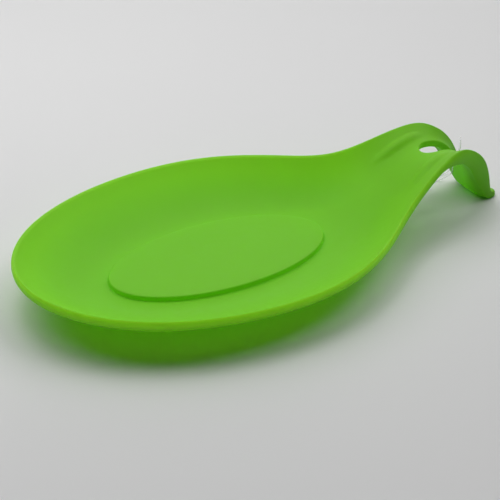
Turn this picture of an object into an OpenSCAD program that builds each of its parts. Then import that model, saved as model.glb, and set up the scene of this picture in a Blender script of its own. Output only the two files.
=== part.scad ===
// Spoon rest moulded in one piece of soft silicone. An oval bowl with a raised
// pad in its floor runs into a channelled handle, which rises to a crest, curls
// down to the table and ends in a flared foot. A slot over the crest hangs it on
// a hook, and two low ribs in front of the slot keep a spoon's stem in place.
// A clear nylon tag loop hangs through the slot and closes in a small clasp.

/* [Bowl] */
// Reach of the rim from the middle of the bowl to its tip
bowl_front = 73; // [64:1:84]
// Reach of the rim's oval from the middle of the bowl towards the handle
bowl_back = 62; // [57:1:68]
// Width of the bowl between its rims
bowl_w = 103.4; // [88:0.2:120]
// Height of the bowl's rim above the table
rim_h = 14.9; // [11:0.1:18]
// How much higher the rim stands at the tip
tip_rise = 1.5; // [0:0.1:3]
// How far the rounded edge bulges past the rim
edge_bulge = 0.9; // [0.4:0.1:1.3]
// Thickness of the moulded wall
wall = 2.6; // [2:0.1:3.2]
// How late the bowl's side steepens on its way up to the rim
side_power = 1.9; // [1.6:0.1:2.3]

/* [Floor and pad] */
// Length of the level floor of the bowl
floor_len = 90; // [86:1:100]
// Width of the level floor of the bowl
floor_w = 48; // [45:1:56]
// Length of the raised oval pad
pad_len = 82.6; // [60:0.2:84]
// Width of the raised oval pad
pad_w = 43.2; // [30:0.2:44]
// How far the pad's middle lies towards the tip
pad_shift = 1; // [0:0.5:3]
// Rise of the pad above the floor
pad_rise = 1.7; // [1:0.1:2.5]

/* [Handle] */
// Reach of the handle's crest from the middle of the bowl
crest_x = 91; // [84:1:98]
// Reach of the foot's edge from the middle of the bowl
foot_x = 117; // [111:1:124]
// Height of the crest's edges above the table
crest_h = 27.6; // [24:0.2:33]
// Width of the handle at its crest
crest_w = 29; // [25:1:34]
// Width of the handle at its foot
foot_w = 18; // [15:1:22]
// Depth of the channel where it crosses the crest
channel_d = 3.6; // [2:0.1:5]
// Width of the level strip along the bottom of the channel
channel_w = 6; // [4:0.5:8]

/* [Hanging slot] */
// Length of the slot across the crest
slot_len = 19.5; // [15:0.5:22]
// Width of the slot
slot_w = 8.2; // [5:0.1:9.5]

/* [Ribs] */
// Height of each rib above the channel
rib_h = 0.9; // [0.6:0.1:1.8]
// Width of each rib
rib_w = 6.2; // [3.5:0.1:7]
// Length of each rib
rib_len = 26; // [18:1:30]

/* [Handle edge] */
// How much deeper the handle's edge is than the wall, at the crest
bead = 3.1; // [0:0.1:4]

/* [Tag loop] */
// Diameter of the clear nylon strand
strand_d = 0.4; // [0.3:0.05:0.8]
// Width of the clasp's round button
clasp_w = 3.6; // [2.8:0.1:4.5]
// Width of the clasp's bar
clasp_bar_w = 1.8; // [1.4:0.1:2.4]
// Height of the clasp
clasp_h = 2; // [1.6:0.1:2.6]

/* [Hidden] */

// The rim and the floor's edge follow smooth curves through these guide rows.
// The bowl's rows lie on ovals, a step of the angle apart.
oval_step = 22.5;
oval_steps = 6;
// A curve of this kind runs a little inside its guides, so the ovals are grown
oval_gain = 6 / (4 + 2 * cos(oval_step));
oval_end_share = cos(180 - oval_steps * oval_step) * oval_gain;
oval_end_side_share = sin(180 - oval_steps * oval_step) * oval_gain;

// Rising part of the handle's rim: along to the crest, side towards the bowl,
// and height above the bowl's rim
rim_rise_shares = [[0.32, 0.45, 0.08], [0.63, 0.175, 0.6], [0.98, -0.025, 1.11]];
// Falling part of the rim: along to the foot, side towards the crest's width,
// and height above the table
rim_fall_shares = [
    [0.27, 0.6, 0.965],
    [0.58, 0.4, 0.765],
    [0.755, 0.145, 0.465],
    [0.825, 0.04, 0.22],
    [0.865, 0.0, 0.095],
    [0.965, -0.1, 0.08],
    [0.985, -0.5, 0.075]
];
// The same two parts for the edge of the channel's level strip, which keeps its
// width as it falls
mid_rise_shares = [[0.13, 0.29, 0.02], [0.52, 0.05, 0.48], [0.82, 0.0, 1.04]];
mid_fall_shares = [
    [0.17, 0.89],
    [0.46, 0.665],
    [0.585, 0.42],
    [0.645, 0.225],
    [0.75, 0.105],
    [0.885, 0.065],
    [0.98, 0.06]
];

// The underside of the floor is trimmed by this much to stand flat
base_trim = 0.15;
floor_h = wall - base_trim;

// Stations along each side, columns up each side, columns across the strip,
// and steps round the rolled edge
stations = 75;
columns = 9;
strips = 4;
lip_steps = 4;

// Small step along and across the surface for its slopes
slope_step = 0.01;

// Where the slot and the ribs lie along the guide rows and up the sides
slot_station = 10.05;
rib_station = 8.7;
rib_side_share = 0.51;

// Where the deeper edge starts and ends along the guide rows, what is left of it
// at the foot, and how it grows up the sides
bead_start = [8.3, 9.2];
bead_end = [11.3, 13.3];
bead_left = 0.1;
bead_power = 2;

// Run of the cuts past what they cut
overrun = 20;
pad_root = wall / 2;
slot_segments = 48;
clasp_segments = 48;
pad_segments = 120;

// The route of the tag loop, in millimetres from the body's origin
loop_route = [
    [68.4, 12.6, 1],
    [70, 12.6, 0.8],
    [72.4, 12.4, 0.4],
    [75.6, 12.1, 0.3],
    [79, 11.9, 0.3],
    [82.2, 11.6, 0.4],
    [84.2, 10.6, 1.5],
    [84.4, 8.6, 3.2],
    [83.4, 6, 5.6],
    [82, 3.4, 8.2],
    [80.2, 1.4, 11],
    [79.5, 0.6, 14],
    [80.6, 0, 17.2],
    [81.9, 0.2, 20.2],
    [82.8, 1.4, 22.1],
    [84, 3, 22.7],
    [85.7, 5, 21.5],
    [87.9, 7.6, 18.6],
    [90.2, 10.2, 14.6],
    [91.8, 12.4, 10],
    [92.1, 13.9, 5.8],
    [91, 14.7, 2.6],
    [88.9, 14.9, 0.8],
    [86, 15, 0.3],
    [80, 15.6, 0.3],
    [74, 16.6, 0.3],
    [68, 17.4, 0.3],
    [63.4, 17.5, 0.3],
    [59.8, 17.4, 0.3],
    [57.9, 16.6, 0.4],
    [57.2, 15, 0.6],
    [57.9, 13.3, 0.8],
    [59.7, 12.6, 1],
    [61.4, 12.6, 1]
];
strand_sides = 8;
strand_steps = 3;

function mix(a, b, share) = a + (b - a) * share;
function unit(v) = v / norm(v);
// Smooth step from 0 at the span's start to 1 at its end
function ease(t, span) =
    let (f = min(max((t - span[0]) / (span[1] - span[0]), 0), 1))
    f * f * (3 - 2 * f);

function oval_row(k) =
    let (
        angle = 180 - k * oval_step,
        reach = cos(angle) < 0 ? bowl_front : bowl_back
    )
    [
        reach * oval_gain * cos(angle),
        bowl_w / 2 * oval_gain * sin(angle),
        rim_h + tip_rise * pow(max(0, -cos(angle)), 3),
        floor_len / 2 * oval_gain * cos(angle),
        floor_w / 2 * oval_gain * sin(angle),
        floor_h
    ];

function rise_row(rim, mid) = [
    mix(bowl_back * oval_end_share, crest_x, rim[0]),
    mix(crest_w / 2, bowl_w / 2 * oval_end_side_share, rim[1]),
    mix(rim_h, crest_h, rim[2]),
    mix(bowl_back * oval_end_share, crest_x, mid[0]),
    mix(channel_w / 2, floor_w / 2 * oval_end_side_share, mid[1]),
    mix(floor_h, crest_h - channel_d, mid[2])
];

function fall_row(rim, mid) = [
    mix(crest_x, foot_x, rim[0]),
    mix(foot_w / 2, crest_w / 2, rim[1]),
    crest_h * rim[2],
    mix(crest_x, foot_x, mid[0]),
    channel_w / 2,
    crest_h * mid[1]
];

guide_rows = concat(
    [for (k = [-1 : oval_steps]) oval_row(k)],
    [for (i = [0 : len(rim_rise_shares) - 1]) rise_row(rim_rise_shares[i], mid_rise_shares[i])],
    [for (i = [0 : len(rim_fall_shares) - 1]) fall_row(rim_fall_shares[i], mid_fall_shares[i])]
);
last_row = guide_rows[len(guide_rows) - 1];
rows = concat(guide_rows, [2 * last_row - guide_rows[len(guide_rows) - 2]]);
spans = len(rows) - 3;

// Point of the guide curve at station t, as six values: rim, then strip edge
function guide(t) =
    let (
        i = min(floor(t), spans - 1),
        f = t - i
    )
    (pow(1 - f, 3) * rows[i]
        + (3 * pow(f, 3) - 6 * pow(f, 2) + 4) * rows[i + 1]
        + (-3 * pow(f, 3) + 3 * pow(f, 2) + 3 * f + 1) * rows[i + 2]
        + pow(f, 3) * rows[i + 3]) / 6;

function rim_of(g) = [g[0], g[1], g[2]];
function mid_of(g) = [g[3], g[4], g[5]];

// Direction square to the channel's strip at station t
function strip_normal(t) =
    let (d = guide(min(t + slope_step, spans)) - guide(max(t - slope_step, 0)))
    unit([-d[5], 0, max(d[3], slope_step * slope_step)]);

// Point of the moulding's upper face: t runs from the tip to the foot, negative
// on the near side, and s from the strip's edge up to the rim
function face(t, s) =
    let (
        g = guide(abs(t)),
        n = strip_normal(abs(t)),
        reach = rim_of(g) - mid_of(g),
        rise = n * (reach * n),
        p = mid_of(g) + (reach - rise) * s + rise * pow(s, side_power)
    )
    t < 0 ? [p[0], -p[1], p[2]] : p;

// How much of the handle's deeper edge there is at station t
function bead_share(t) = ease(t, bead_start) * (1 - (1 - bead_left) * ease(t, bead_end));

// Thickness square to the strip, so that the wall keeps its thickness on a slope
function depth(t, s) =
    let (
        g = guide(abs(t)),
        n = strip_normal(abs(t)),
        reach = rim_of(g) - mid_of(g),
        slope = side_power * (reach * n) * pow(s, side_power - 1) / norm(reach - n * (reach * n))
    )
    wall * sqrt(1 + slope * slope) + bead * bead_share(abs(t)) * pow(s, bead_power);

rib_stations = rib_len / norm(mid_of(guide(rib_station + 0.5)) - mid_of(guide(rib_station - 0.5)));

// A rib is a low lens that rises from the side of the channel
function rib_rise(t, s) =
    let (
        g = guide(abs(t)),
        side_len = norm(rim_of(g) - mid_of(g)),
        a = (abs(t) - rib_station) / (rib_stations / 2),
        b = (s - rib_side_share) * side_len / (rib_w / 2)
    )
    rib_h * pow(max(0, 1 - a * a - b * b), 1.5);

function station(i) = (i - stations) / stations * spans;

side_faces = [for (i = [0 : 2 * stations]) for (j = [0 : columns])
    face(station(i), j / columns)];
side_normals = [for (i = [0 : 2 * stations]) for (j = [0 : columns])
    strip_normal(abs(station(i)))];
side_depths = [for (i = [0 : 2 * stations]) for (j = [0 : columns])
    depth(station(i), j / columns)];
side_rises = [for (i = [0 : 2 * stations]) for (j = [0 : columns])
    rib_rise(station(i), j / columns)];
strip_faces = [for (k = [1 : stations]) for (q = [1 : strips - 1])
    let (p = mid_of(guide(station(stations + k))))
    [p[0], mix(-p[1], p[1], q / strips), p[2]]];
strip_normals = [for (k = [1 : stations]) for (q = [1 : strips - 1])
    strip_normal(station(stations + k))];

skin = concat(side_faces, strip_faces);
skin_normals = concat(side_normals, strip_normals);
skin_count = len(skin);
side_count = len(side_faces);
upper = [for (i = [0 : skin_count - 1])
    skin[i] + skin_normals[i] * (i < side_count ? side_rises[i] : 0)];
lower = [for (i = [0 : skin_count - 1])
    skin[i] - skin_normals[i] * (i < side_count ? side_depths[i] : wall)];

function side_index(i, j) = i * (columns + 1) + j;
function strip_index(k, q) =
    q == 0 ? side_index(stations - k, 0)
    : q == strips ? side_index(stations + k, 0)
    : side_count + (k - 1) * (strips - 1) + q - 1;

// The open edge of the skin, once round: one side, the tip, the other side, the foot
edge = concat(
    [for (i = [0 : 2 * stations]) side_index(i, columns)],
    [for (j = [1 : columns]) side_index(2 * stations, columns - j)],
    [for (q = [1 : strips - 1]) strip_index(stations, strips - q)],
    [for (j = [0 : columns - 1]) side_index(0, j)]
);
edge_count = len(edge);

function edge_out(e) =
    let (
        ahead = skin[edge[(e + 1) % edge_count]],
        behind = skin[edge[(e + edge_count - 1) % edge_count]]
    )
    unit(cross(skin_normals[edge[e]], ahead - behind));

lip = [for (e = [0 : edge_count - 1]) for (r = [1 : lip_steps - 1])
    let (
        n = skin_normals[edge[e]],
        angle = 180 * r / lip_steps
    )
    mix(upper[edge[e]], lower[edge[e]], (1 - cos(angle)) / 2) + edge_bulge * edge_out(e) * sin(angle)];

function lip_index(e, r) =
    r == 0 ? edge[e % edge_count]
    : r == lip_steps ? skin_count + edge[e % edge_count]
    : 2 * skin_count + (e % edge_count) * (lip_steps - 1) + r - 1;

// Two triangles for a quad, with the diagonal mirrored from side to side
function quad(a, b, c, d, flip) = flip ? [[a, d, c], [a, c, b]] : [[a, d, b], [d, c, b]];
function reversed(f) = [f[0] + skin_count, f[2] + skin_count, f[1] + skin_count];

upper_triangles = concat(
    [for (i = [0 : 2 * stations - 1]) for (j = [0 : columns - 1])
        each quad(side_index(i, j), side_index(i + 1, j),
            side_index(i + 1, j + 1), side_index(i, j + 1), i < stations)],
    [for (q = [0 : strips - 1]) [side_index(stations, 0), strip_index(1, q + 1), strip_index(1, q)]],
    [for (k = [2 : stations]) for (q = [0 : strips - 1])
        each quad(strip_index(k - 1, q), strip_index(k, q),
            strip_index(k, q + 1), strip_index(k - 1, q + 1), q < strips / 2)]
);
lower_triangles = [for (f = upper_triangles) reversed(f)];
lip_triangles = [for (e = [0 : edge_count - 1]) for (r = [0 : lip_steps - 1])
    each quad(lip_index(e, r), lip_index(e + 1, r),
        lip_index(e + 1, r + 1), lip_index(e, r + 1), e < stations)];

body_points = concat(upper, lower, lip);
body_ends = [for (p = body_points) p[0]];
centre_x = (min(body_ends) + max(body_ends)) / 2;

module shell() {
    polyhedron(body_points, concat(upper_triangles, lower_triangles, lip_triangles), convexity = 10);
}

module pad() {
    translate([-pad_shift, 0, floor_h - pad_root])
        linear_extrude(pad_root + pad_rise)
            polygon([for (i = [0 : pad_segments - 1])
                [pad_len / 2 * cos(360 * i / pad_segments), pad_w / 2 * sin(360 * i / pad_segments)]]);
}

module slot_cut() {
    middle = mid_of(guide(slot_station));
    n = strip_normal(slot_station);
    straight = slot_len - slot_w;
    translate([middle[0], 0, middle[2]])
        rotate([0, atan2(n[0], n[2]), 0])
            translate([0, 0, -crest_h / 3])
                linear_extrude(crest_h / 3 + overrun)
                    union() {
                        square([straight, slot_w], center = true);
                        for (end = [-1, 1])
                            translate([end * straight / 2, 0])
                                circle(d = slot_w, $fn = slot_segments);
                    }
}

module table_cut() {
    translate([-bowl_front - overrun, -bowl_w / 2 - overrun, -overrun])
        cube([bowl_front + foot_x + 2 * overrun, bowl_w + 2 * overrun, overrun]);
}

module silicone_body() {
    color("yellowgreen")
        translate([-centre_x, 0, 0])
            difference() {
                union() {
                    shell();
                    pad();
                }
                slot_cut();
                table_cut();
            }
}

// Smooth curve through the route's own points
function route_point(i) =
    loop_route[min(max(i, 0), len(loop_route) - 1)];
function route_at(u) =
    let (
        i = min(floor(u), len(loop_route) - 2),
        f = u - i,
        a = route_point(i - 1),
        b = route_point(i),
        c = route_point(i + 1),
        d = route_point(i + 2)
    )
    (2 * b + (c - a) * f + (2 * a - 5 * b + 4 * c - d) * pow(f, 2)
        + (3 * b - a - 3 * c + d) * pow(f, 3)) / 2;

strand_rings = (len(loop_route) - 1) * strand_steps;
strand_line = [for (i = [0 : strand_rings]) route_at(i / strand_steps)];

// The ring's frame is carried along the strand with no twist
function carried(dir, n) = unit(n - dir * (n * dir));
function strand_dir(i) =
    unit(strand_line[min(i + 1, strand_rings)] - strand_line[max(i - 1, 0)]);
strand_frames = [for (i = 0, n = carried(strand_dir(0), [0, 0, 1]);
    i <= strand_rings;
    i = i + 1, n = carried(strand_dir(min(i, strand_rings)), n)) n];

module tag_loop() {
    color("whitesmoke")
        polyhedron(
            [for (i = [0 : strand_rings]) for (s = [0 : strand_sides - 1])
                let (
                    side = strand_frames[i],
                    up = cross(strand_dir(i), side),
                    angle = 360 * s / strand_sides
                )
                strand_line[i] + strand_d / 2 * (side * cos(angle) + up * sin(angle))],
            concat(
                [[for (s = [0 : strand_sides - 1]) s]],
                [for (i = [0 : strand_rings - 1]) for (s = [0 : strand_sides - 1])
                    each quad(i * strand_sides + s, i * strand_sides + (s + 1) % strand_sides,
                        (i + 1) * strand_sides + (s + 1) % strand_sides, (i + 1) * strand_sides + s, true)],
                [[for (s = [1 : strand_sides]) strand_rings * strand_sides + strand_sides - s]]
            ),
            convexity = 6
        );
}

module tag_loop_clasp() {
    from = loop_route[len(loop_route) - 1];
    to = loop_route[0];
    color("whitesmoke")
        translate([(from[0] + to[0]) / 2, (from[1] + to[1]) / 2, 0]) {
            translate([-norm(to - from) / 2, -clasp_bar_w / 2, 0])
                cube([norm(to - from), clasp_bar_w, clasp_h]);
            cylinder(d = clasp_w, h = clasp_h, $fn = clasp_segments);
        }
}

silicone_body();
tag_loop();
tag_loop_clasp();
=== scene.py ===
"""Looks of a green silicone spoon rest: its fine surface, its clear tag loop, the
materials, and a pale studio table under soft light. Lengths are in metres."""

import math

import bmesh
import bpy
import numpy as np
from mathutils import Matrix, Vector


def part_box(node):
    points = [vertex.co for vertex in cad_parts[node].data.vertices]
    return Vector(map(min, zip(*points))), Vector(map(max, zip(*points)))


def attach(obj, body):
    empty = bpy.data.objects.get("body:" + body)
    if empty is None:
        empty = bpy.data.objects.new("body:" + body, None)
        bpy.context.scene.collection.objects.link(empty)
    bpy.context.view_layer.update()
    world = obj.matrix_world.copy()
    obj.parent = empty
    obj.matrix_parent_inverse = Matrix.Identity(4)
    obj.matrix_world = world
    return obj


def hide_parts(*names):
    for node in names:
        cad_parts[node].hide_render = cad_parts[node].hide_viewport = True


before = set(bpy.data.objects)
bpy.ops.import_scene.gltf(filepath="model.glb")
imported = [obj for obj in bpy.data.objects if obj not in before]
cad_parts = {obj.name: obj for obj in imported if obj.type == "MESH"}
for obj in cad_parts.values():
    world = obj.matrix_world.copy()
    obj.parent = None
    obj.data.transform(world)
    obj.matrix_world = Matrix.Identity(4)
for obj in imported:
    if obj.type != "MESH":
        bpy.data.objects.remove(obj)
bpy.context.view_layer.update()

# Driving sizes of the moulding, as in the part's source
BOWL_FRONT = 0.073
BOWL_BACK = 0.062
BOWL_W = 0.1034
RIM_H = 0.0149
TIP_RISE = 0.0015
EDGE_BULGE = 0.0009
WALL = 0.0026
SIDE_POWER = 1.9
FLOOR_LEN = 0.090
FLOOR_W = 0.048
PAD_LEN = 0.0826
PAD_W = 0.0432
PAD_SHIFT = 0.001
PAD_RISE = 0.0017
CREST_X = 0.091
FOOT_X = 0.117
CREST_H = 0.0276
CREST_W = 0.029
FOOT_W = 0.018
CHANNEL_D = 0.0036
CHANNEL_W = 0.006
SLOT_LEN = 0.0195
SLOT_W = 0.0082
RIB_H = 0.0009
RIB_W = 0.0062
RIB_LEN = 0.026
BEAD = 0.0031
STRAND_D = 0.0004
BASE_TRIM = 0.00015
FLOOR_H = WALL - BASE_TRIM

# Guide rows of the rim and of the floor's edge, as shares, as in the source
OVAL_STEP = 22.5
OVAL_STEPS = 6
OVAL_GAIN = 6 / (4 + 2 * math.cos(math.radians(OVAL_STEP)))
OVAL_END = math.radians(180 - OVAL_STEPS * OVAL_STEP)
RIM_RISE_SHARES = [(0.32, 0.45, 0.08), (0.63, 0.175, 0.6), (0.98, -0.025, 1.11)]
RIM_FALL_SHARES = [
    (0.27, 0.6, 0.965),
    (0.58, 0.4, 0.765),
    (0.755, 0.145, 0.465),
    (0.825, 0.04, 0.22),
    (0.865, 0.0, 0.095),
    (0.965, -0.1, 0.08),
    (0.985, -0.5, 0.075),
]
MID_RISE_SHARES = [(0.13, 0.29, 0.02), (0.52, 0.05, 0.48), (0.82, 0.0, 1.04)]
MID_FALL_SHARES = [
    (0.17, 0.89),
    (0.46, 0.665),
    (0.585, 0.42),
    (0.645, 0.225),
    (0.75, 0.105),
    (0.885, 0.065),
    (0.98, 0.06),
]

# Where the middles of the slot and of the ribs lie along the guide rows, how far
# up the sides the ribs lie, and how their height fades
SLOT_STATION = 10.05
RIB_STATION = 8.7
RIB_SIDE_SHARE = 0.51
RIB_FADE = 1.5

# The handle's deeper edge: where along the guide rows it grows and where it
# fades, the share of it left at the foot, and how it grows up the sides
BEAD_START = (8.3, 9.2)
BEAD_END = (11.3, 13.3)
BEAD_LEFT = 0.1
BEAD_POWER = 2

# How steeply the rim rises to the bowl's tip, and the small step along the guide
# rows for the surface's slopes
TIP_POWER = 3
SLOPE_STEP = 0.01

# Density of the fine surface: rows for each span of the guide curve, columns
# across half the strip and up each side, and rings round the rolled edge
ROWS_PER_SPAN = 12
STRIP_COLUMNS = 6
SIDE_COLUMNS = 28
LIP_RINGS = 12

# The pad's rings take up the strip as far as this station, and the slot's
# rings lie between the next two and reach this many columns up the sides
PAD_END_STATION = 6.75
SLOT_START_STATION = 8.75
SLOT_END_STATION = 11.5
SLOT_SIDE_COLUMNS = 10

# The same limits as rows and columns of the grid
PAD_END_ROW = round(PAD_END_STATION * ROWS_PER_SPAN)
SLOT_START_ROW = round(SLOT_START_STATION * ROWS_PER_SPAN)
SLOT_END_ROW = round(SLOT_END_STATION * ROWS_PER_SPAN)
SLOT_COLUMN = STRIP_COLUMNS + SLOT_SIDE_COLUMNS
EDGE_COLUMN = STRIP_COLUMNS + SIDE_COLUMNS

# Where the plain rings lie: on the pad from its middle to its outline, from its
# foot to the floor's edge, and between the slot's outline and the grid
PAD_TOP_SHARES = (0.2, 0.4, 0.6, 0.8, 0.93)
PAD_FOOT_SHARES = (0.15, 0.35, 0.65)
SLOT_RING_SHARES = (0.75, 0.5, 0.3, 0.15)

# The slot's round ends count as its ends up to this angle off its middle line,
# and beyond it as its sides
SLOT_CORNER = math.radians(60)

# The search for the slot's outline on a face: its rounds, its step for slopes,
# and the furthest move in one round
FIND_ROUNDS = 20
FIND_STEP = 1e-4
FIND_REACH = 0.4

# Points along the strip for its heights, and rounds that even out the edge's
# outward directions
STRIP_SAMPLES = 400
EDGE_SMOOTHINGS = 6

# Points of a mesh that lie closer than this are joined
JOIN_DISTANCE = WALL * 1e-4

# Roundings that the plain solid leaves out
PAD_TOP_ROUND = 0.0006
PAD_FOOT_ROUND = 0.0004
PAD_DRAFT = 0.0001
SLOT_ROUND = 0.0006
ROUND_STEPS = 5

# Stretch of the handle over which the silicone goes from thin to thick
HANDLE_THICKENS = (0.045, 0.09)
# Distances from the middle line over which the handle's side thickens
STRIP_THICKENS = (0.003, 0.008)
# Heights from which the bowl's side is thin, and down to which it thickens
BOWL_THINS = (0.011, 0.004)
# Each point's place round the moulding: 0 on the upper face, up to 1 round the
# rolled edge and 2 on the underside, with 0 on the slot's wall too. Then the
# stretches of it that get a painted highlight at the edge's top and painted shade
# lower down the edge, and where the underside begins
ROLL = "roll"
EDGE_PAINTED_HIGHLIGHT_SPAN = (0, 0.15)
EDGE_PAINTED_SHADE_SPAN = (0.15, 0.75)
UNDERSIDE_BEGINS = (1, 1.5)

# Scale and detail of each noise, and the middle of a noise's range, which is
# spread over what it moves
CLOUDS = (35, 3)
WAVES = (90, 2)
GRAIN = (2600, 2)
SHINE = (420, 3)
HAZE = (900, 2)
RIPPLES = (1500, 1)
TABLE_CLOUDS = (3, 2)
NOISE_MIDDLE = (0.3, 0.7)

# Depth and strength of each relief
WAVE_RELIEF = (0.0004, 0.12)
GRAIN_RELIEF = (0.00004, 0.25)
RIPPLE_RELIEF = (0.00002, 0.3)

# Tones of the silicone's face, and of the light that it lets through: at the
# wall, low in the bowl, at the top of the rolled edge as a painted highlight and
# at its bottom as painted shade, and at the handle's middle and its sides, from
# above and from below. Below, the lighter middle is a painted patch of light and
# the darker sides are painted shade
FACE_TONES = ((0.165, 0.408, 0.012), (0.158, 0.397, 0.011))
WALL_TONES = ((0.32, 0.52, 0.06), (0.31, 0.51, 0.055))
LOW_TONE = (0.26, 0.48, 0.05)
# Painted highlight on the top of the rolled edge, painted shade on its bottom
EDGE_PAINTED_HIGHLIGHT_TONE = (0.55, 0.7, 0.15)
EDGE_PAINTED_SHADE_TONE = (0.09, 0.24, 0.02)
HANDLE_TONES_ABOVE = ((0.16, 0.38, 0.015), (0.08, 0.25, 0.012))
# The tones below paint a patch of light in the middle and shade at the sides
HANDLE_PAINTED_TONES_BELOW = ((0.27, 0.54, 0.012), (0.05, 0.18, 0.01))
NYLON_TONE = (0.93, 0.95, 0.94)
TABLE_TONES = ((0.8, 0.8, 0.8), (0.78, 0.78, 0.78))

# Ranges of roughness that the noises run through
SILICONE_ROUGHNESS = (0.5, 0.6)
NYLON_ROUGHNESS = (0.08, 0.2)

# Route of the tag loop, in the row frame
LOOP_ROUTE = [
    (0.0684, 0.0126, 0.001),
    (0.07, 0.0126, 0.0008),
    (0.0724, 0.0124, 0.0004),
    (0.0756, 0.0121, 0.0003),
    (0.079, 0.0119, 0.0003),
    (0.0822, 0.0116, 0.0004),
    (0.0842, 0.0106, 0.0015),
    (0.0844, 0.0086, 0.0032),
    (0.0834, 0.006, 0.0056),
    (0.082, 0.0034, 0.0082),
    (0.0802, 0.0014, 0.011),
    (0.0795, 0.0006, 0.014),
    (0.0806, 0.0, 0.0172),
    (0.0819, 0.0002, 0.0202),
    (0.0828, 0.0014, 0.0221),
    (0.084, 0.003, 0.0227),
    (0.0857, 0.005, 0.0215),
    (0.0879, 0.0076, 0.0186),
    (0.0902, 0.0102, 0.0146),
    (0.0918, 0.0124, 0.01),
    (0.0921, 0.0139, 0.0058),
    (0.091, 0.0147, 0.0026),
    (0.0889, 0.0149, 0.0008),
    (0.086, 0.015, 0.0003),
    (0.08, 0.0156, 0.0003),
    (0.074, 0.0166, 0.0003),
    (0.068, 0.0174, 0.0003),
    (0.0634, 0.0175, 0.0003),
    (0.0598, 0.0174, 0.0003),
    (0.0579, 0.0166, 0.0004),
    (0.0572, 0.015, 0.0006),
    (0.0579, 0.0133, 0.0008),
    (0.0597, 0.0126, 0.001),
    (0.0614, 0.0126, 0.001),
]
STRAND_STEPS = 6
STRAND_SIDES = 12

# The clasp's bar: its width, its share of the clasp's height, how round its
# section is, its sides, and its sections as a place along and a share of size
CLASP_BAR_W = 0.0018
CLASP_BAR_SHARE = 0.9
CLASP_BAR_ROUND = 0.6
CLASP_BAR_SIDES = 16
CLASP_BAR_SECTIONS = [
    (-1, 0.45),
    (-0.96, 0.72),
    (-0.88, 0.92),
    (-0.7, 1),
    (0.7, 1),
    (0.88, 0.92),
    (0.96, 0.72),
    (1, 0.45),
]
# Its button: steps round it, and its profile as shares of radius and height
CLASP_BUTTON_STEPS = 40
CLASP_BUTTON_PROFILE = [
    (0.0, 0.0),
    (0.82, 0.0),
    (0.95, 0.05),
    (1.0, 0.15),
    (1.0, 0.85),
    (0.95, 0.95),
    (0.82, 1.0),
    (0.62, 1.0),
    (0.55, 0.96),
    (0.45, 0.84),
    (0.25, 0.8),
    (0.0, 0.79),
]

# The table: half its width, its cells each way, and how far its top lies below
# the part, so that the two share no plane
TABLE_HALF = 2.0
TABLE_CELLS = 8
TABLE_DROP = 0.00005

# The photograph's view: its lens, and where it stands
SENSOR = 0.036
LENS = 0.0792
CAMERA_PLACE = (-0.17216, -0.2930, 0.2101)
CAMERA_ELEVATION = 31.9
CAMERA_TURN = 28.9
NEAR_CLIP = 0.01
METRES_TO_MM = 1000

# Softboxes: elevation, turn, distance, size and level, as add_box takes them
SOFTBOXES = {
    "left": (52, -62, 0.6, (0.5, 0.45), 0.29),
    "left_top": (74, -45, 0.55, (0.25, 0.25), 0.145),
    "back": (50, 0, 1.6, (1.0, 1.1), 0.135),
    "right": (50, 52, 1.6, (1.2, 0.9), 0.24),
    "right_top": (65, 90, 0.5, (0.22, 0.22), 0.031),
    "low_back": (20, 0, 1.6, (1.2, 0.6), 0.04),
}
WORLD_STRENGTH = 0.01


def mix(a, b, share):
    return a + (b - a) * share


def ease(t, start, end):
    """Smooth step from 0 at start to 1 at end."""
    f = np.clip((t - start) / (end - start), 0, 1)
    return f * f * (3 - 2 * f)


def unit(rows):
    return rows / np.linalg.norm(rows, axis=-1, keepdims=True)


# The guide curve


def oval_row(k):
    angle = math.radians(180 - k * OVAL_STEP)
    along, side = OVAL_GAIN * math.cos(angle), OVAL_GAIN * math.sin(angle)
    reach = BOWL_FRONT if along < 0 else BOWL_BACK
    height = RIM_H + TIP_RISE * max(0, -math.cos(angle)) ** TIP_POWER
    rim = (reach * along, BOWL_W / 2 * side, height)
    return rim + (FLOOR_LEN / 2 * along, FLOOR_W / 2 * side, FLOOR_H)


def rise_row(rim, mid):
    start = BOWL_BACK * OVAL_GAIN * math.cos(OVAL_END)
    side = OVAL_GAIN * math.sin(OVAL_END)
    return (
        mix(start, CREST_X, rim[0]),
        mix(CREST_W / 2, BOWL_W / 2 * side, rim[1]),
        mix(RIM_H, CREST_H, rim[2]),
        mix(start, CREST_X, mid[0]),
        mix(CHANNEL_W / 2, FLOOR_W / 2 * side, mid[1]),
        mix(FLOOR_H, CREST_H - CHANNEL_D, mid[2]),
    )


def fall_row(rim, mid):
    return (
        mix(CREST_X, FOOT_X, rim[0]),
        mix(FOOT_W / 2, CREST_W / 2, rim[1]),
        CREST_H * rim[2],
        mix(CREST_X, FOOT_X, mid[0]),
        CHANNEL_W / 2,
        CREST_H * mid[1],
    )


def guide_rows():
    made = [oval_row(k) for k in range(-1, OVAL_STEPS + 1)]
    made += [rise_row(*pair) for pair in zip(RIM_RISE_SHARES, MID_RISE_SHARES)]
    made += [fall_row(*pair) for pair in zip(RIM_FALL_SHARES, MID_FALL_SHARES)]
    made = np.array(made)
    return np.vstack([made, 2 * made[-1] - made[-2]])


ROWS = guide_rows()
SPANS = len(ROWS) - 3
LAST = SPANS * ROWS_PER_SPAN


def guide(t):
    """Points of the rim and of the strip's edge at stations t."""
    t = np.clip(np.asarray(t, float), 0, SPANS)
    i = np.minimum(t.astype(int), SPANS - 1)
    f = (t - i)[:, None]
    g = (
        (1 - f) ** 3 * ROWS[i]
        + (3 * f**3 - 6 * f**2 + 4) * ROWS[i + 1]
        + (-3 * f**3 + 3 * f**2 + 3 * f + 1) * ROWS[i + 2]
        + f**3 * ROWS[i + 3]
    ) / 6
    return g[:, :3], g[:, 3:]


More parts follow.
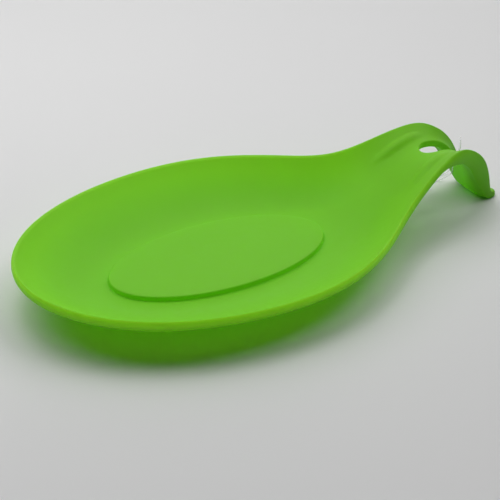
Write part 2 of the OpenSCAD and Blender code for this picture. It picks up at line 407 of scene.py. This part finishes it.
def strip_normal(t):
    """Direction square to the channel's strip at stations t."""
    t = np.asarray(t, float)
    after = guide(np.minimum(t + SLOPE_STEP, SPANS))[1]
    before = guide(np.maximum(t - SLOPE_STEP, 0))[1]
    run = after - before
    ahead = np.maximum(run[:, 0], WALL * SLOPE_STEP**2)
    return unit(np.stack([-run[:, 2], np.zeros(len(t)), ahead], -1))


def bead_share(t):
    """How much of the handle's thicker edge there is at stations t."""
    return ease(t, *BEAD_START) * (1 - (1 - BEAD_LEFT) * ease(t, *BEAD_END))


def skin(t, w):
    """Upper face at stations t, with its normal direction and the wall's depth.
    w is 0 on the middle line, 1 at the strip's edge and 2 at the rim, and
    negative on the near side."""
    t, w = np.asarray(t, float), np.asarray(w, float)
    rim, mid = guide(t)
    n = strip_normal(t)
    reach = rim - mid
    rise = n * (reach * n).sum(-1, keepdims=True)
    run = reach - rise
    s = np.maximum(np.abs(w) - 1, 0)[:, None]
    p = mid + run * s + rise * s**SIDE_POWER
    aside = np.where(np.abs(w) < 1, mid[:, 1] * np.abs(w), p[:, 1])
    p[:, 1] = aside * np.where(w < 0, -1, 1)
    lift = np.linalg.norm(rise, axis=-1) / np.linalg.norm(run, axis=-1)
    slope = SIDE_POWER * lift * s[:, 0] ** (SIDE_POWER - 1)
    bead = BEAD * bead_share(t) * s[:, 0] ** BEAD_POWER
    return p, n, WALL * np.sqrt(1 + slope**2) + bead


def rib_rise(t, w):
    """Height of the two low ribs over the channel's sides."""
    rim, mid = guide(t)
    before, after = guide([RIB_STATION - 0.5, RIB_STATION + 0.5])[1]
    span_len = np.linalg.norm(after - before)
    a = (np.asarray(t) - RIB_STATION) * span_len / (RIB_LEN / 2)
    side_len = np.linalg.norm(rim - mid, axis=-1)
    b = (np.abs(w) - 1 - RIB_SIDE_SHARE) * side_len / (RIB_W / 2)
    return RIB_H * np.maximum(0, 1 - a * a - b * b) ** RIB_FADE


# The moulding's surface


class Surface:
    """Points and faces of the moulding, with an upper and a lower point for
    each place on its skin."""

    def __init__(self):
        self.upper = []
        self.lower = []
        self.count = 0
        self.keys = {}
        self.faces = []

    def add(self, upper, lower, keys=None):
        first = self.count
        self.upper.append(upper)
        self.lower.append(lower)
        self.count += len(upper)
        for i, key in enumerate(keys or []):
            self.keys[key] = first + i
        return list(range(first, self.count))

    def quad(self, a, b, c, d):
        face = [v for i, v in enumerate((a, b, c, d)) if v not in (a, b, c, d)[:i]]
        self.faces.append(tuple(face))

    def between(self, inner, outer):
        """Quads between two rings that run the same way round."""
        for i in range(len(inner)):
            j = (i + 1) % len(inner)
            self.quad(inner[i], outer[i], outer[j], inner[j])


def column(j):
    """Place across the skin of column j, counted from the middle line."""
    side = max(abs(j) - STRIP_COLUMNS, 0) / SIDE_COLUMNS
    return math.copysign(min(abs(j) / STRIP_COLUMNS, 1) + side, j)


def grid_key(i, j):
    """Both sides share the points of station 0."""
    return (i, abs(j) if i == 0 else j)


def grid_index(surface, i, j):
    return surface.keys[grid_key(i, j)]


def add_grid(surface):
    """Points of the sides, and of the strip where no rings take it up."""
    slot_rows = range(SLOT_START_ROW + 1, SLOT_END_ROW)
    keys = []
    for i in range(LAST + 1):
        for j in range(-EDGE_COLUMN, EDGE_COLUMN + 1):
            in_pad = i < PAD_END_ROW and abs(j) < STRIP_COLUMNS
            in_slot = i in slot_rows and abs(j) < SLOT_COLUMN
            if not (in_pad or in_slot or (i == 0 and j < 0)):
                keys.append((i, j))
    t = np.array([i / ROWS_PER_SPAN for i, _ in keys])
    w = np.array([column(j) for _, j in keys])
    p, n, depth = skin(t, w)
    surface.add(p + n * rib_rise(t, w)[:, None], p - n * depth[:, None], keys)
    surface.skin_normals = n
    surface.skin = p
    for i in range(LAST):
        for j in range(-EDGE_COLUMN, EDGE_COLUMN):
            corners = ((i, j), (i + 1, j), (i + 1, j + 1), (i, j + 1))
            outermost = max(abs(j), abs(j + 1))
            by_slot = i + 1 in slot_rows or i in slot_rows
            in_pad = i < PAD_END_ROW and outermost <= STRIP_COLUMNS
            in_slot = by_slot and outermost <= SLOT_COLUMN
            if not (in_pad or in_slot):
                surface.quad(*[grid_index(surface, *corner) for corner in corners])


def strip_heights(x):
    """Height of the strip's upper and lower faces at x, in the bowl."""
    t = np.linspace(0, SLOT_START_STATION, STRIP_SAMPLES)
    mid = guide(t)[1]
    lower = mid - strip_normal(t) * WALL
    return np.interp(x, mid[:, 0], mid[:, 2]), np.interp(x, lower[:, 0], lower[:, 2])


def pad_profile():
    """Distances out from the pad's outline and shares of its height, from the
    top's flat to the floor."""
    turns = np.linspace(0, math.pi / 2, ROUND_STEPS + 1)
    profile = []
    for a in turns:
        away, drop = math.sin(a) - 1, math.cos(a) - 1
        profile.append((PAD_TOP_ROUND * away, PAD_TOP_ROUND * drop, 1))
    for a in turns:
        away, rise = 1 - math.cos(a), 1 - math.sin(a)
        profile.append((PAD_DRAFT + PAD_FOOT_ROUND * away, PAD_FOOT_ROUND * rise, 0))
    return profile


def add_pad(surface):
    """Rings from the middle of the pad out to the floor's edge."""
    places = [(i, -STRIP_COLUMNS) for i in range(PAD_END_ROW, 0, -1)]
    places += [(i, STRIP_COLUMNS) for i in range(PAD_END_ROW + 1)]
    places += [(PAD_END_ROW, j) for j in range(STRIP_COLUMNS - 1, -STRIP_COLUMNS, -1)]
    outer = [grid_index(surface, *place) for place in places]
    rim = np.vstack(surface.upper)[outer]
    half = np.array([PAD_LEN / 2, PAD_W / 2])
    angle = np.arctan2(rim[:, 1] / half[1], (rim[:, 0] + PAD_SHIFT) / half[0])
    outline = np.stack([half[0] * np.cos(angle) - PAD_SHIFT, half[1] * np.sin(angle)], -1)
    out = unit(np.stack([np.cos(angle) / half[0], np.sin(angle) / half[1]], -1))
    pad_top = FLOOR_H + PAD_RISE

    rings = []
    for share in PAD_TOP_SHARES:
        flat = outline * share + np.array([-PAD_SHIFT, 0]) * (1 - share)
        rings.append((flat, np.full(len(flat), pad_top)))
    for away, height, top in pad_profile():
        flat = outline + out * away
        base = strip_heights(flat[:, 0])[0]
        rings.append((flat, mix(base, pad_top, top) + height))
    foot = rings[-1][0]
    for share in PAD_FOOT_SHARES:
        flat = mix(foot, rim[:, :2], share)
        rings.append((flat, strip_heights(flat[:, 0])[0]))

    centre = np.array([[-PAD_SHIFT, 0, pad_top]])
    middle = surface.add(centre, centre * [1, 1, 0])[0]
    previous = None
    for flat, z in rings:
        low = strip_heights(flat[:, 0])[1]
        ring = surface.add(np.column_stack([flat, z]), np.column_stack([flat, low]))
        if previous is None:
            for i in range(len(ring)):
                surface.faces.append((middle, ring[i - 1], ring[i]))
        else:
            surface.between(ring, previous)
        previous = ring
    surface.between(outer, previous)


def slot_outline(count_end, count_side, away):
    """The slot's outline, moved out by away: along and across its own middle.
    It runs down the near side, round the rear end, up the far side and round
    the front end."""
    straight = (SLOT_LEN - SLOT_W) / 2
    radius = SLOT_W / 2 + away
    arc = (math.pi / 2 - SLOT_CORNER) * radius
    half = []
    for k in range(count_side):
        run = 2 * (arc + straight) * k / count_side
        if run < arc:
            a = SLOT_CORNER + run / radius
            half.append((-straight - radius * math.cos(a), -radius * math.sin(a)))
        elif run < arc + 2 * straight:
            half.append((run - arc - straight, -radius))
        else:
            a = math.pi / 2 - (run - arc - 2 * straight) / radius
            half.append((straight + radius * math.cos(a), -radius * math.sin(a)))
    for k in range(count_end):
        a = SLOT_CORNER * (2 * k / count_end - 1)
        half.append((straight + radius * math.cos(a), radius * math.sin(a)))
    half = np.array(half)
    return np.vstack([half, -half])


def slot_frame():
    """Middle of the slot, its lengthwise direction and its depth direction."""
    middle = guide([SLOT_STATION])[1][0] * [1, 0, 1]
    n = strip_normal([SLOT_STATION])[0]
    return middle, np.array([n[2], 0, -n[0]]), n


def face_point(t, w, lower):
    p, n, depth = skin(t, w)
    return p - n * depth[:, None] if lower else p


def find_on_face(target, lower):
    """Stations and places across where the slot's outline meets a face."""
    middle, along, _ = slot_frame()
    t = np.full(len(target), SLOT_STATION)
    w = target[:, 1] / (CHANNEL_W / 2)

    def seen(t, w):
        p = face_point(t, w, lower) - middle
        return np.stack([p @ along, p[:, 1]], -1)

    def crossed(a, b):
        return a[:, 0] * b[:, 1] - a[:, 1] * b[:, 0]

    for _ in range(FIND_ROUNDS):
        here = seen(t, w)
        by_t = (seen(t + FIND_STEP, w) - here) / FIND_STEP
        by_w = (seen(t, w + FIND_STEP) - here) / FIND_STEP
        miss = target - here
        area = crossed(by_t, by_w)
        t = t + np.clip(crossed(miss, by_w) / area, -FIND_REACH, FIND_REACH)
        w = w + np.clip(crossed(by_t, miss) / area, -FIND_REACH, FIND_REACH)
    return t, w


def add_slot(surface):
    """Rings from the grid in to the slot's rounded edges, on both faces, and
    the slot's wall between them."""
    first, last, side = SLOT_START_ROW, SLOT_END_ROW, SLOT_COLUMN
    places = [(i, -side) for i in range(first, last)]
    places += [(last, j) for j in range(-side, side)]
    places += [(i, side) for i in range(last, first, -1)]
    places += [(first, j) for j in range(side, -side, -1)]
    outer = [grid_index(surface, *place) for place in places]
    outer_t = np.array([i / ROWS_PER_SPAN for i, _ in places])
    outer_w = np.array([column(j) for _, j in places])
    turns = np.linspace(0, math.pi / 2, ROUND_STEPS + 1)
    _, _, n = slot_frame()

    faces = {}
    for lower in (False, True):
        rings = []
        wide = slot_outline(2 * side, last - first, SLOT_ROUND)
        t, w = find_on_face(wide, lower)
        for share in SLOT_RING_SHARES:
            rt, rw = mix(t, outer_t, share), mix(w, outer_w, share)
            lift = 0 if lower else rib_rise(rt, rw)[:, None] * strip_normal(rt)
            rings.append(face_point(rt, rw, lower) + lift)
        for turn in turns:
            away = SLOT_ROUND * (1 - math.sin(turn))
            line = slot_outline(2 * side, last - first, away)
            t, w = find_on_face(line, lower)
            sink = SLOT_ROUND * (1 - math.cos(turn)) * (1 if lower else -1)
            rings.append(face_point(t, w, lower) + n * sink)
        faces[lower] = rings
    rings = [surface.add(up, low) for up, low in zip(faces[False], faces[True])]
    for a, b in zip([outer] + rings, rings):
        surface.between(b, a)
    surface.slot_ring = rings[-1]


def edge_loop(surface):
    """The skin's open edge, once round."""
    places = [(i, -EDGE_COLUMN) for i in range(LAST, 0, -1)]
    places += [(i, EDGE_COLUMN) for i in range(LAST)]
    places += [(LAST, j) for j in range(EDGE_COLUMN, -EDGE_COLUMN, -1)]
    return [grid_index(surface, *place) for place in places]


def edge_out(surface, loop):
    """Outward directions along the edge, turned smoothly round the corners."""
    p = surface.skin[loop]
    n = surface.skin_normals[loop]
    out = unit(np.cross(n, np.roll(p, -1, 0) - np.roll(p, 1, 0)))
    for _ in range(EDGE_SMOOTHINGS):
        out = unit(np.roll(out, 1, 0) + 2 * out + np.roll(out, -1, 0))
    return out


def body_mesh():
    """Points and faces of the moulding, and each point's place round it."""
    surface = Surface()
    add_grid(surface)
    add_pad(surface)
    add_slot(surface)
    upper, lower = np.vstack(surface.upper), np.vstack(surface.lower)
    count = surface.count
    loop = edge_loop(surface)
    out = edge_out(surface, loop)
    rings = [loop]
    points = [upper, lower]
    roll = [np.zeros(count), np.full(count, 2.0)]
    roll[1][loop] = 1
    roll[1][surface.slot_ring] = 0
    for r in range(1, LIP_RINGS):
        turn = math.pi * r / LIP_RINGS
        down = (1 - math.cos(turn)) / 2
        ring = mix(upper[loop], lower[loop], down) + EDGE_BULGE * math.sin(turn) * out
        first = 2 * count + (r - 1) * len(loop)
        rings.append(list(range(first, first + len(loop))))
        points.append(ring)
        roll.append(np.full(len(loop), r / LIP_RINGS))
    rings.append([count + v for v in loop])
    faces = list(surface.faces)
    faces += [tuple(count + v for v in reversed(face)) for face in surface.faces]
    for a, b in zip(rings, rings[1:]):
        faces += [(a[i - 1], b[i - 1], b[i], a[i]) for i in range(len(loop))]
    slot = surface.slot_ring
    for a, b in zip(slot[-1:] + slot, slot):
        faces.append((a, b, count + b, count + a))
    points = np.vstack(points)
    points[:, 2] = np.maximum(points[:, 2], 0)
    points[:, 0] -= (points[:, 0].min() + points[:, 0].max()) / 2
    return points, faces, np.concatenate(roll)


def new_mesh(name, points, faces, roll=None):
    data = bpy.data.meshes.new(name)
    data.from_pydata([tuple(p) for p in points], [], faces)
    if roll is not None:
        places = data.attributes.new(ROLL, "FLOAT", "POINT")
        places.data.foreach_set("value", roll)
    data.validate()
    work = bmesh.new()
    work.from_mesh(data)
    bmesh.ops.remove_doubles(work, verts=work.verts, dist=JOIN_DISTANCE)
    bmesh.ops.recalc_face_normals(work, faces=work.faces)
    for face in work.faces:
        face.smooth = True
    work.to_mesh(data)
    work.free()
    piece = bpy.data.objects.new(name, data)
    bpy.context.scene.collection.objects.link(piece)
    return piece


# Materials


def new_material(name):
    material = bpy.data.materials.new(name)
    material.use_nodes = True
    tree = material.node_tree
    return material, tree, tree.nodes["Principled BSDF"]


def noise(tree, place, scale, detail):
    node = tree.nodes.new("ShaderNodeTexNoise")
    node.inputs["Scale"].default_value = scale
    node.inputs["Detail"].default_value = detail
    tree.links.new(place.outputs["Object"], node.inputs["Vector"])
    return node.outputs["Fac"]


def stretch(tree, value, start, end, low=0, high=1):
    """Low up to start, high from end on, and evenly between them."""
    node = tree.nodes.new("ShaderNodeMapRange")
    node.inputs["From Min"].default_value = start
    node.inputs["From Max"].default_value = end
    node.inputs["To Min"].default_value = low
    node.inputs["To Max"].default_value = high
    tree.links.new(value, node.inputs["Value"])
    return node.outputs["Result"]


def drift(tree, place, texture, low, high):
    """A value that a noise moves between low and high."""
    return stretch(tree, noise(tree, place, *texture), *NOISE_MIDDLE, low, high)


def blend_tone(tree, share, start, end):
    """From one tone to another by share; each is a socket or an even tone."""
    node = tree.nodes.new("ShaderNodeMix")
    node.data_type = "RGBA"
    for name, tone in (("A", start), ("B", end)):
        if isinstance(tone, tuple):
            node.inputs[name].default_value = (*tone, 1)
        else:
            tree.links.new(tone, node.inputs[name])
    tree.links.new(share, node.inputs["Factor"])
    return node.outputs["Result"]


def bump(tree, height, distance, strength, after=None):
    node = tree.nodes.new("ShaderNodeBump")
    node.inputs["Distance"].default_value = distance
    node.inputs["Strength"].default_value = strength
    tree.links.new(height, node.inputs["Height"])
    if after is not None:
        tree.links.new(after, node.inputs["Normal"])
    return node.outputs["Normal"]


def through_tone(tree, place, cloud):
    """Tone of the light that passes, by the place on the moulding, with a painted
    highlight and painted shade on the rolled edge, and a painted patch of light
    and painted shade on the handle's underside.
    """
    apart = tree.nodes.new("ShaderNodeSeparateXYZ")
    tree.links.new(place.outputs["Object"], apart.inputs["Vector"])
    aside = tree.nodes.new("ShaderNodeMath")
    aside.operation = "ABSOLUTE"
    tree.links.new(apart.outputs["Y"], aside.inputs[0])
    turned = tree.nodes.new("ShaderNodeAttribute")
    turned.attribute_name = ROLL
    roll = turned.outputs["Fac"]
    under = stretch(tree, roll, *UNDERSIDE_BEGINS)

    low = stretch(tree, apart.outputs["Z"], *BOWL_THINS)
    wall = blend_tone(tree, low, blend_tone(tree, cloud, *WALL_TONES), LOW_TONE)
    # Painted highlight along the top of the rolled edge, where it turns over
    rim = blend_tone(tree, stretch(tree, roll, *EDGE_PAINTED_HIGHLIGHT_SPAN), wall, EDGE_PAINTED_HIGHLIGHT_TONE)
    # Painted shade further down the rolled edge
    rim = blend_tone(tree, stretch(tree, roll, *EDGE_PAINTED_SHADE_SPAN), rim, EDGE_PAINTED_SHADE_TONE)
    bowl = blend_tone(tree, under, rim, wall)

    side = stretch(tree, aside.outputs["Value"], *STRIP_THICKENS)
    above = blend_tone(tree, side, *HANDLE_TONES_ABOVE)
    # On the underside the lighter middle is a painted patch of light and the darker sides
    # are painted shade
    below = blend_tone(tree, side, *HANDLE_PAINTED_TONES_BELOW)
    handle = blend_tone(tree, under, above, below)
    along = stretch(tree, apart.outputs["X"], *HANDLE_THICKENS)
    return blend_tone(tree, along, bowl, handle)


def silicone():
    """Milky rubber: it sends light back from its face and lets some through,
    less of it low in the bowl and at the handle. The tone of what passes also
    paints a highlight at the top of the rolled edge, shade low on it, and a patch
    of light with shade at its sides on the handle's underside."""
    material, tree, shader = new_material("green_silicone")
    place = tree.nodes.new("ShaderNodeTexCoord")
    cloud = drift(tree, place, CLOUDS, 0, 1)
    waves = bump(tree, noise(tree, place, *WAVES), *WAVE_RELIEF)
    relief = bump(tree, noise(tree, place, *GRAIN), *GRAIN_RELIEF, waves)
    roughness = drift(tree, place, SHINE, *SILICONE_ROUGHNESS)
    tree.links.new(blend_tone(tree, cloud, *FACE_TONES), shader.inputs["Base Color"])
    tree.links.new(roughness, shader.inputs["Roughness"])
    tree.links.new(relief, shader.inputs["Normal"])
    shader.inputs["IOR"].default_value = 1.41
    shader.inputs["Specular IOR Level"].default_value = 0.22
    shader.inputs["Sheen Weight"].default_value = 0.04
    shader.inputs["Sheen Roughness"].default_value = 0.5
    through = tree.nodes.new("ShaderNodeBsdfTranslucent")
    tree.links.new(through_tone(tree, place, cloud), through.inputs["Color"])
    tree.links.new(relief, through.inputs["Normal"])
    both = tree.nodes.new("ShaderNodeAddShader")
    tree.links.new(shader.outputs["BSDF"], both.inputs[0])
    tree.links.new(through.outputs["BSDF"], both.inputs[1])
    output = tree.nodes["Material Output"]
    tree.links.new(both.outputs["Shader"], output.inputs["Surface"])
    return material


def nylon():
    material, tree, shader = new_material("clear_nylon")
    place = tree.nodes.new("ShaderNodeTexCoord")
    roughness = drift(tree, place, HAZE, *NYLON_ROUGHNESS)
    relief = bump(tree, noise(tree, place, *RIPPLES), *RIPPLE_RELIEF)
    tree.links.new(roughness, shader.inputs["Roughness"])
    tree.links.new(relief, shader.inputs["Normal"])
    shader.inputs["Base Color"].default_value = (*NYLON_TONE, 1)
    shader.inputs["IOR"].default_value = 1.4
    shader.inputs["Transmission Weight"].default_value = 0.95
    return material


def table_top():
    material, tree, shader = new_material("table")
    place = tree.nodes.new("ShaderNodeTexCoord")
    cloud = drift(tree, place, TABLE_CLOUDS, 0, 1)
    tree.links.new(blend_tone(tree, cloud, *TABLE_TONES), shader.inputs["Base Color"])
    shader.inputs["Roughness"].default_value = 0.75
    shader.inputs["Specular IOR Level"].default_value = 0.2
    return material


# Pieces


def make_camera():
    data = bpy.data.cameras.new("camera")
    data.sensor_fit = "HORIZONTAL"
    data.sensor_width = SENSOR * METRES_TO_MM
    data.lens = LENS * METRES_TO_MM
    data.clip_start = NEAR_CLIP
    camera = bpy.data.objects.new("camera", data)
    camera.location = CAMERA_PLACE
    tilt = math.radians(90 - CAMERA_ELEVATION)
    camera.rotation_euler = (tilt, 0, math.radians(-CAMERA_TURN))
    bpy.context.scene.collection.objects.link(camera)
    bpy.context.scene.camera = camera


def route_line():
    """Smooth curve through the loop's route."""
    p = np.array(LOOP_ROUTE)
    line = []
    for i in range(len(p) - 1):
        a, b, c, d = p[max(i - 1, 0)], p[i], p[i + 1], p[min(i + 2, len(p) - 1)]
        by_square = 2 * a - 5 * b + 4 * c - d
        by_cube = 3 * b - a - 3 * c + d
        for f in np.arange(STRAND_STEPS) / STRAND_STEPS:
            line.append((2 * b + (c - a) * f + by_square * f**2 + by_cube * f**3) / 2)
    return np.array(line + [p[-1]])


def end_faces(count, sides):
    """Faces over both ends of a tube of count points."""
    return [tuple(range(sides)), tuple(range(count - sides, count))]


def tube_faces(rings, sides, first=0):
    """Faces along a tube whose rings of points follow each other from first."""
    faces = []
    for ring in range(first, first + (rings - 1) * sides, sides):
        for k in range(sides):
            a, b = ring + k, ring + (k + 1) % sides
            faces.append((a, b, b + sides, a + sides))
    return faces


def make_strand(material):
    line = route_line()
    ahead = unit(np.gradient(line, axis=0))
    side = np.array([0.0, 0.0, 1.0])
    points = []
    for p, d in zip(line, ahead):
        side = unit(side - d * (side @ d))
        up = np.cross(d, side)
        for k in range(STRAND_SIDES):
            a = 2 * math.pi * k / STRAND_SIDES
            points.append(p + STRAND_D / 2 * (side * math.cos(a) + up * math.sin(a)))
    faces = end_faces(len(points), STRAND_SIDES) + tube_faces(len(line), STRAND_SIDES)
    strand = new_mesh("tag_strand", points, faces)
    strand.data.materials.append(material)
    return strand, line


def squared(share):
    """Pushes a circle's share out towards a square's."""
    return math.copysign(abs(share) ** CLASP_BAR_ROUND, share)


def make_clasp(material):
    """Bar with drawn-in ends, and a round button with a dished top."""
    low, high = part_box("tag_loop_clasp")
    middle, size = (low + high) / 2, high - low
    points = []
    for share, grow in CLASP_BAR_SECTIONS:
        x = middle.x + share * size.x / 2
        for k in range(CLASP_BAR_SIDES):
            a = 2 * math.pi * (k + 0.5) / CLASP_BAR_SIDES
            y = squared(math.cos(a)) * CLASP_BAR_W / 2 * grow
            z = squared(math.sin(a)) * size.z / 2 * CLASP_BAR_SHARE * grow
            points.append((x, middle.y + y, middle.z + z))
    faces = end_faces(len(points), CLASP_BAR_SIDES)
    faces += tube_faces(len(CLASP_BAR_SECTIONS), CLASP_BAR_SIDES)
    first = len(points)
    for r, h in CLASP_BUTTON_PROFILE:
        radius = r * size.y / 2
        for k in range(CLASP_BUTTON_STEPS):
            a = 2 * math.pi * k / CLASP_BUTTON_STEPS
            x, y = radius * math.cos(a), radius * math.sin(a)
            points.append((middle.x + x, middle.y + y, low.z + h * size.z))
    faces += tube_faces(len(CLASP_BUTTON_PROFILE), CLASP_BUTTON_STEPS, first)
    clasp = new_mesh("tag_clasp", points, faces)
    clasp.data.materials.append(material)
    return clasp


def make_body():
    body = new_mesh("spoon_rest_body", *body_mesh())
    body.data.materials.append(silicone())
    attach(body, "root")
    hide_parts("silicone_body")


def make_loop():
    clear = nylon()
    strand, line = make_strand(clear)
    clasp = make_clasp(clear)
    for piece, node in ((strand, "tag_loop"), (clasp, "tag_loop_clasp")):
        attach(piece, "root")
        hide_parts(node)


def make_table():
    spots = np.linspace(-TABLE_HALF, TABLE_HALF, TABLE_CELLS + 1)
    points = [(x, y, -TABLE_DROP) for y in spots for x in spots]
    row = len(spots)
    faces = []
    for i in range(TABLE_CELLS):
        for a in range(i * row, i * row + TABLE_CELLS):
            faces.append((a, a + 1, a + row + 1, a + row))
    table = new_mesh("table", points, faces)
    table.data.materials.append(table_top())


def add_box(name, elevation, turn, distance, size, level):
    """Softbox aimed at the part. Elevation and turn are its direction, with turn
    0 straight behind the part as the camera sees it and positive to the right;
    level is the light that it lays on the table."""
    e, a = math.radians(elevation), math.radians(turn + CAMERA_TURN)
    aim = Vector((math.cos(e) * math.sin(a), math.cos(e) * math.cos(a), math.sin(e)))
    place = aim * distance
    data = bpy.data.lights.new(name, "AREA")
    data.shape = "RECTANGLE"
    data.size, data.size_y = size
    data.energy = level * math.pi**2 * distance**2 / math.sin(e)
    light = bpy.data.objects.new(name, data)
    light.location = place
    light.rotation_euler = (-place).to_track_quat("-Z", "Y").to_euler()
    bpy.context.scene.collection.objects.link(light)


def make_light():
    world = bpy.data.worlds.new("studio")
    world.use_nodes = True
    back = world.node_tree.nodes["Background"]
    back.inputs["Color"].default_value = (1, 1, 1, 1)
    back.inputs["Strength"].default_value = WORLD_STRENGTH
    bpy.context.scene.world = world
    for name, setting in SOFTBOXES.items():
        add_box(name, *setting)
    view = bpy.context.scene.view_settings
    view.view_transform = "Standard"
    view.look = "None"
    view.exposure = 0
    view.gamma = 1


make_camera()
make_loop()
make_body()
make_table()
make_light()
